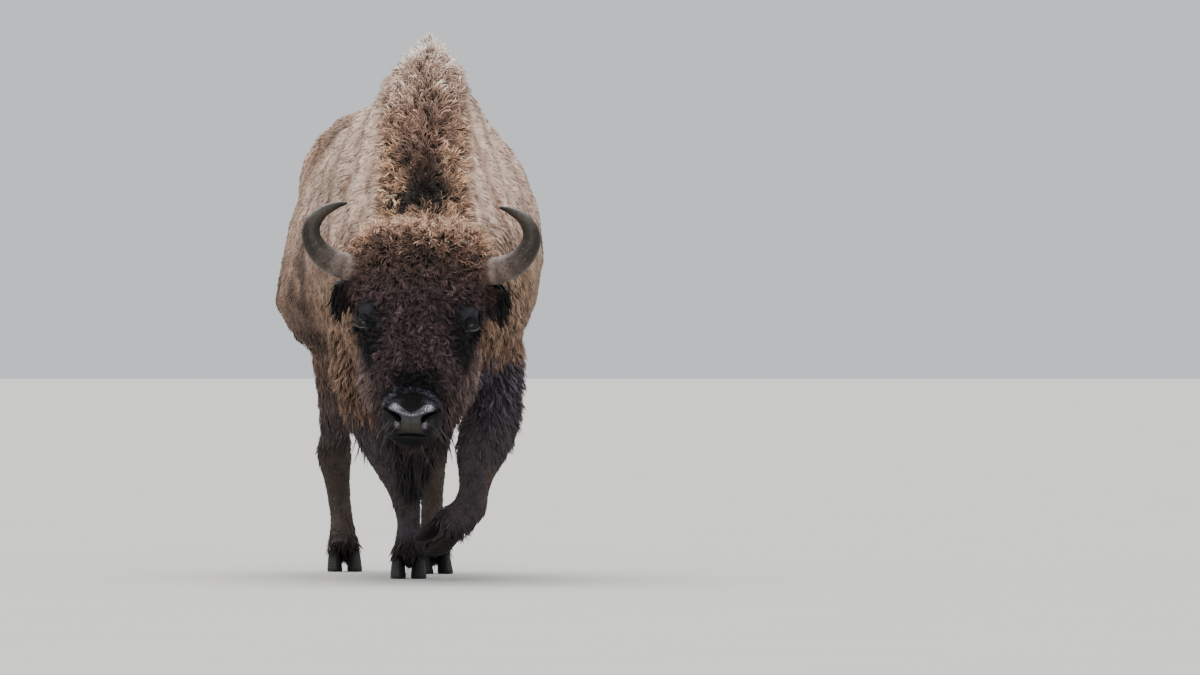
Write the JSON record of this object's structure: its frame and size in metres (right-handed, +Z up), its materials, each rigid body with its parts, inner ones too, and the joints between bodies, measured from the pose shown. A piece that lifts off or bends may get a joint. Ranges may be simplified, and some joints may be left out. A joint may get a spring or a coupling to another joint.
{
  "type": "wisent bull",
  "caption": "Life-size still model of a wisent (European bison) bull in mid-stride, head low and turned a little to its right.",
  "frame": {"origin": "on the floor, under the middle of the model's bounding box", "axes": "+Z up; the bull faces -Y with its body along Y; its left side is +X"},
  "size_m": [0.878, 2.6688, 1.72],
  "materials": {
    "coat_pale": "short dense woolly hair, pale tan on the back, browner below",
    "coat_brown": "long wavy mane hair, golden brown with a dark middle",
    "coat_dark": "curly umber hair on the head, blackish brown hair on the legs and the beard",
    "nose": "bare slate-grey nose pad, moist and pebbled, in short black hair",
    "horn": "grey-brown horn, ridged and rough at the base, smoother at the tip",
    "hoof": "dark horn, lightly ridged",
    "eye": "wet dark brown eye"
  },
  "bodies": {
    "root": {"horn_left": "horn", "ear_left": "coat_dark", "eye_left": "eye", "horn_right": "horn", "ear_right": "coat_dark", "eye_right": "eye", "hoof_foreleg_right_left": "hoof", "dewclaw_foreleg_right_left": "hoof", "hoof_foreleg_right_right": "hoof", "dewclaw_foreleg_right_right": "hoof", "hoof_foreleg_left_left": "hoof", "dewclaw_foreleg_left_left": "hoof", "hoof_foreleg_left_right": "hoof", "dewclaw_foreleg_left_right": "hoof", "hoof_hindleg_right_left": "hoof", "dewclaw_hindleg_right_left": "hoof", "hoof_hindleg_right_right": "hoof", "dewclaw_hindleg_right_right": "hoof", "hoof_hindleg_left_left": "hoof", "dewclaw_hindleg_left_left": "hoof", "hoof_hindleg_left_right": "hoof", "dewclaw_hindleg_left_right": "hoof", "foreleg_right": "coat_dark", "foreleg_left": "coat_dark", "hindleg_right": "coat_dark", "hindleg_left": "coat_dark", "head": "coat_dark", "neck": "coat_brown", "trunk": "coat_pale", "muzzle": "nose", "beard": "coat_dark", "tail_tuft": "coat_dark", "tail": "coat_pale"}
  },
  "joints": []
}
